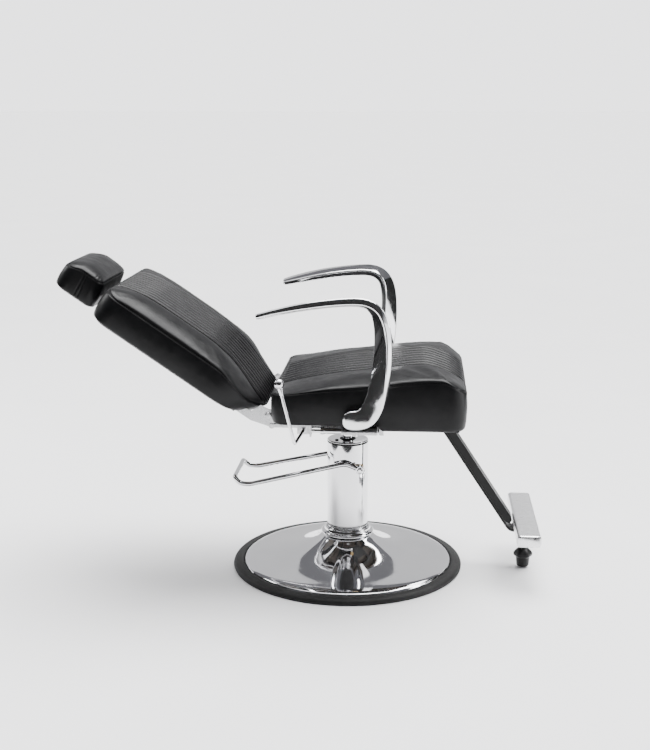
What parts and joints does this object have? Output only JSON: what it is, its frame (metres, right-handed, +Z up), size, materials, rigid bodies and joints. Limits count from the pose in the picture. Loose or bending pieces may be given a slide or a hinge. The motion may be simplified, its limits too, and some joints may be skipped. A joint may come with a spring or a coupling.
{
  "type": "hydraulic barber chair",
  "caption": "Reclining hydraulic barber chair: round chrome base, pump lever, channelled black cushions, curved armrests, sliding headrest and T-bar footrest.",
  "frame": {"origin": "on the floor, on the column's swivel axis, at the middle of the ballast plate's underside", "axes": "+X is the chair's front, towards the footrest; +Y is the sitter's left; +Z is up along the column"},
  "size_m": [1.2157, 0.627, 0.8061],
  "materials": {
    "chrome": "polished",
    "polished_aluminium": "polished",
    "bronze": "satin",
    "cast_iron": "matte",
    "black_rubber": "matte",
    "black_steel": "satin",
    "black_plastic": "satin",
    "plywood": "matte",
    "black_vinyl": "satin",
    "zinc_steel": "satin"
  },
  "bodies": {
    "base": {"ballast_plate": "cast_iron", "base_trim_ring": "black_rubber", "base_dome": "chrome", "base_collar": "chrome", "column_sleeve": "chrome", "hydraulic_cylinder": "zinc_steel", "cylinder_head": "polished_aluminium", "head_gasket": "black_rubber", "rod_wiper_seal": "black_rubber", "filler_plug": "black_steel", "shaft_bush_near": "bronze", "shaft_bush_far": "bronze", "pump_barrel": "zinc_steel"},
    "plunger": {"pump_plunger": "zinc_steel"},
    "pump_lever": {"lever_shaft": "zinc_steel", "lever_crank": "zinc_steel", "lever_loop": "chrome", "lever_nut_near": "chrome", "lever_nut_far": "chrome"},
    "lift": {"piston_rod": "chrome", "piston": "zinc_steel"},
    "seat": {"swivel_hub": "black_steel", "thrust_bearing": "bronze", "seat_mount_plate": "black_steel", "side_rail_near": "black_steel", "side_rail_far": "black_steel", "cross_rail_rear": "black_steel", "cross_rail_front": "black_steel", "seat_tray": "plywood", "seat_cushion": "black_vinyl", "arm_bracket_near": "zinc_steel", "arm_bracket_far": "zinc_steel", "armrest_near": "polished_aluminium", "armrest_far": "polished_aluminium", "arm_bolt_near": "zinc_steel", "arm_bolt_far": "zinc_steel", "footrest_leg": "black_steel", "leg_pad": "black_plastic", "leg_screw": "zinc_steel", "footrest_mount_plate": "black_steel", "foot_bar": "polished_aluminium", "foot_stud": "chrome", "lock_bracket": "zinc_steel", "lock_rod": "chrome", "hinge_ear_near": "zinc_steel", "hinge_ear_far": "zinc_steel", "hinge_pin_near": "zinc_steel", "hinge_pin_far": "zinc_steel"},
    "leveller": {"foot_knob": "black_plastic"},
    "lock_slide": {"lock_tube": "chrome", "lock_link": "zinc_steel"},
    "release": {"release_lever": "chrome", "release_knob": "chrome"},
    "back": {"back_arm_near": "zinc_steel", "back_arm_far": "zinc_steel", "back_board": "plywood", "back_cushion": "black_vinyl", "headrest_socket": "black_steel"},
    "headrest": {"headrest_bar": "zinc_steel", "headrest_cushion": "black_vinyl"}
  },
  "joints": [
    {"name": "lift", "type": "slide", "parent": "base", "child": "lift", "axis": [0, 0, 1], "range_m": [0, 0.15]},
    {"name": "swivel", "type": "hinge", "parent": "lift", "child": "seat", "pos_m": [0, 0, 0.362], "axis": [0, 0, 1], "continuous": true},
    {"name": "recline", "type": "hinge", "parent": "seat", "child": "back", "pos_m": [-0.184, 0, 0.444], "axis": [0, 1, 0], "range_deg": [0, 35]},
    {"name": "headrest_height", "type": "slide", "parent": "back", "child": "headrest", "axis": [-0.8261, 0, 0.5635], "range_m": [0, 0.09]},
    {"name": "lock_travel", "type": "slide", "parent": "seat", "child": "lock_slide", "axis": [1, 0, 0], "range_m": [-0.017, 0.0005]},
    {"name": "release_lever", "type": "hinge", "parent": "seat", "child": "release", "pos_m": [-0.095, -0.22, 0.4185], "axis": [0, 1, 0], "range_deg": [-14, 0], "stiffness_Nm_per_rad": 0.8, "springref_deg": 20.05},
    {"name": "foot_leveller", "type": "slide", "parent": "seat", "child": "leveller", "axis": [0, 0, 1], "range_m": [-0.003, 0.012]},
    {"name": "pump_lever", "type": "hinge", "parent": "base", "child": "pump_lever", "pos_m": [0.035, 0, 0.274], "axis": [0, 1, 0], "range_deg": [-24, 6], "stiffness_Nm_per_rad": 10, "springref_deg": 5.73},
    {"name": "plunger_travel", "type": "slide", "parent": "base", "child": "plunger", "axis": [0, 0, 1], "range_m": [-0.0012, 0.0044]}
  ],
  "couplings": [
    {"joint": "lock_travel", "follows": "recline", "m_per_rad": -0.0256},
    {"joint": "plunger_travel", "follows": "pump_lever", "m_per_rad": -0.01}
  ]
}
